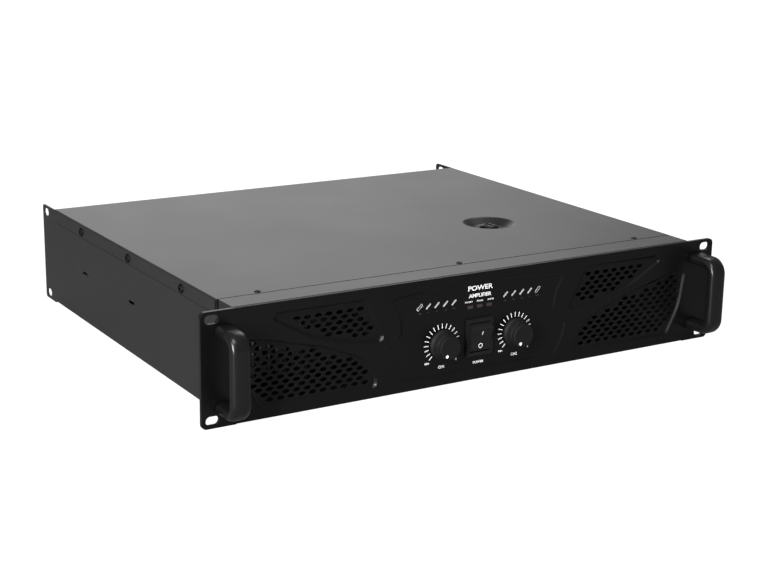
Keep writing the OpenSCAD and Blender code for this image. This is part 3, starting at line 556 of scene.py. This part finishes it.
# The rocker's face, in mm from its pivot: at ROCKER_BEND above and below, it stands ROCKER_DEPTH forward,
# and from there to each end it comes forward by another ROCKER_RISE over a height of ROCKER_RUN
ROCKER_BEND = 3.0
ROCKER_RUN, ROCKER_RISE = 6.49, 1.1
ROCKER_DEPTH = 6.25
MARK_HEIGHT = 5.6
BAR_MARK = (0.7 * MM, 3.2 * MM)
RING_MARK = (2.0 * MM, 1.4 * MM)


def disc(bm, centre, radius, y, thickness, steps=32):
    turns = [math.tau * k / steps for k in range(steps)]
    rim = [(centre.x + radius * math.cos(t), centre.z + radius * math.sin(t)) for t in turns]
    prism(bm, rim, y, thickness)


for side, body in (("left", "knob_ch1"), ("right", "knob_ch2")):
    spot = KNOBS[side] + Vector((math.cos(DOT_ANGLE), 0, math.sin(DOT_ANGLE))) * DOT_REACH
    add_piece("knob_dot_" + side,
              lambda bm, spot=spot: disc(bm, spot, DOT_RADIUS, KNOB_FRONT + DOT_SUNK, DOT_T),
              PRINT, body, smooth=False)


def rocker_mark(name, build_flat, height):
    """A mark on the rocker's face; height, in mm, is measured up the tilted rocker from its middle."""
    joint = next(j for j in frame["joints"] if j["name"] == "power_rock")
    pivot = Vector(joint["pos_m"])
    tilt = math.radians(joint["range_deg"][1] / 2)
    slope = math.atan2(ROCKER_RISE, ROCKER_RUN) * (1 if height > 0 else -1)
    face_y = -(ROCKER_DEPTH + (abs(height) - ROCKER_BEND) / ROCKER_RUN * ROCKER_RISE) * MM

    def build(bm):
        build_flat(bm)
        turn = Matrix.Translation(pivot) @ Matrix.Rotation(tilt, 4, "X") \
            @ Matrix.Translation((0, face_y - PRINT_T, height * MM)) @ Matrix.Rotation(slope, 4, "X")
        bmesh.ops.transform(bm, matrix=turn, verts=bm.verts)

    add_piece(name, build, PRINT, "rocker", smooth=False)


def ring(bm, outer, inner, steps=40):
    for k in range(steps):
        a, b = math.tau * k / steps, math.tau * (k + 1) / steps
        corners = ((inner, a), (outer, a), (outer, b), (inner, b))
        prism(bm, [(r * math.cos(t), r * math.sin(t)) for r, t in corners], 0, PRINT_T)


def bar(bm, w, h):
    prism(bm, [(-w / 2, -h / 2), (w / 2, -h / 2), (w / 2, h / 2), (-w / 2, h / 2)], 0, PRINT_T)


rocker_mark("rocker_mark_on", lambda bm: bar(bm, *BAR_MARK), MARK_HEIGHT)
rocker_mark("rocker_mark_off", lambda bm: ring(bm, *RING_MARK), -MARK_HEIGHT)


# ---- Stage: pale floor, soft studio light ----
FLOOR_SIZE = 14
FLOOR_GAP = 0.2 * MM
SKY_TOWARD = (0.36, 0.89, 0.28)
SKY_EDGE = 0.9
SKY_DIM = 0.2
SKY_BRIGHT = 1.37


def make_floor():
    mesh = bpy.data.meshes.new("floor")
    bm = bmesh.new()
    bmesh.ops.create_grid(bm, x_segments=1, y_segments=1, size=FLOOR_SIZE)
    bm.to_mesh(mesh)
    bm.free()
    floor = bpy.data.objects.new("floor", mesh)
    floor.location.z = cad_low.z - FLOOR_GAP
    bpy.context.scene.collection.objects.link(floor)
    m = Nodes("floor_paper")
    m.colour(m.ramp(m.noise(3, 2), 0, 1), grey(0.2), grey(0.22))
    m.rough(m.noise(60, 2), 0.75, 0.85)
    m.set(Specular_IOR_Level=0.1, Emission_Color=(1, 1, 1, 1))
    m.link(camera_split(m.tree, 0.04, 0.93), m.shader.inputs["Emission Strength"])
    mesh.materials.append(m.material)
    floor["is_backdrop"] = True


def area_light(name, azimuth, elevation, distance, size, power):
    """A soft box that looks at the object; azimuth 0 is in front, positive to the right."""
    data = bpy.data.lights.new(name, "AREA")
    data.shape = "RECTANGLE"
    data.size, data.size_y = size
    data.energy = power
    light = bpy.data.objects.new(name, data)
    bpy.context.scene.collection.objects.link(light)
    away = direction(math.radians(azimuth), math.radians(elevation))
    light.location = AIM + away * distance
    light.rotation_euler = away.to_track_quat("Z", "Y").to_euler()


def camera_split(tree, plain, seen):
    """A strength that is one number to the camera and another, or another output, to every other ray."""
    path = tree.nodes.new("ShaderNodeLightPath")
    level = tree.nodes.new("ShaderNodeMix")
    level.inputs["B"].default_value = seen
    tree.links.new(path.outputs["Is Camera Ray"], level.inputs["Factor"])
    if isinstance(plain, float):
        level.inputs["A"].default_value = plain
    else:
        tree.links.new(plain, level.inputs["A"])
    return level.outputs["Result"]


def make_world():
    """A studio that is bright low down behind the object and dim elsewhere; plain white to the camera."""
    world = bpy.data.worlds.new("studio")
    world.use_nodes = True
    tree = world.node_tree
    place = tree.nodes.new("ShaderNodeTexCoord")
    toward = tree.nodes.new("ShaderNodeVectorMath")
    toward.operation = "DOT_PRODUCT"
    toward.inputs[1].default_value = SKY_TOWARD
    tree.links.new(place.outputs["Generated"], toward.inputs[0])
    side = tree.nodes.new("ShaderNodeMapRange")
    side.interpolation_type = "SMOOTHSTEP"
    side.inputs["From Min"].default_value = SKY_EDGE
    side.inputs["From Max"].default_value = 1.0
    side.inputs["To Min"].default_value = SKY_DIM
    side.inputs["To Max"].default_value = SKY_BRIGHT
    tree.links.new(toward.outputs["Value"], side.inputs["Value"])
    background = tree.nodes["Background"]
    background.inputs["Color"].default_value = (1, 1, 1, 1)
    tree.links.new(camera_split(tree, side.outputs["Result"], 1.0), background.inputs["Strength"])
    bpy.context.scene.world = world


make_floor()
make_world()
area_light("overhead", -30, 56, 2.2, (0.5, 0.4), 18)
area_light("left_front", -54, 16, 2.4, (0.35, 1.3), 95)
area_light("rear_fill", 128, 52, 2.2, (0.8, 0.6), 8)
bpy.context.scene.view_settings.view_transform = "Standard"
